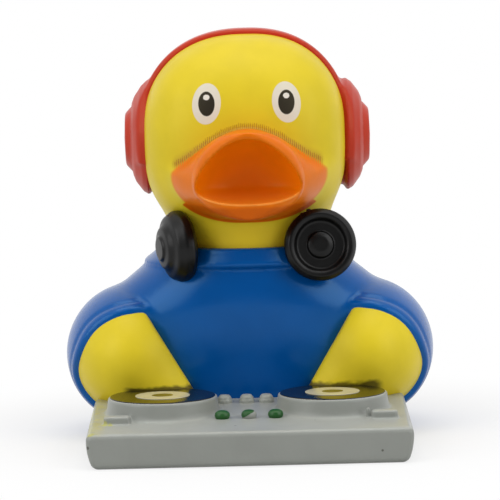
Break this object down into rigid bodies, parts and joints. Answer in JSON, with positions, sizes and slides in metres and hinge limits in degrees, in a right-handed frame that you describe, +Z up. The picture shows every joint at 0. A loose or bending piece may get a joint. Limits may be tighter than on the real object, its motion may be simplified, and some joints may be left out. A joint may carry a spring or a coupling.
{
  "type": "rubber duck",
  "caption": "Rubber duck with headphones behind a small mixing desk: one hollow vinyl moulding with painted details and a flat base.",
  "frame": {"origin": "on the flat underside, below the middle of the head", "axes": "-Y is the way the duck looks, +X is towards its left arm, +Z is up from the flat underside"},
  "size_m": [0.0768, 0.0904, 0.0842],
  "materials": {
    "yellow_vinyl": "satin",
    "orange_paint": "satin",
    "red_paint": "satin",
    "blue_paint": "gloss",
    "black_paint": "gloss",
    "grey_paint": "satin",
    "white_paint": "satin",
    "green_paint": "gloss"
  },
  "bodies": {
    "root": {"duck": "yellow_vinyl"}
  },
  "joints": []
}
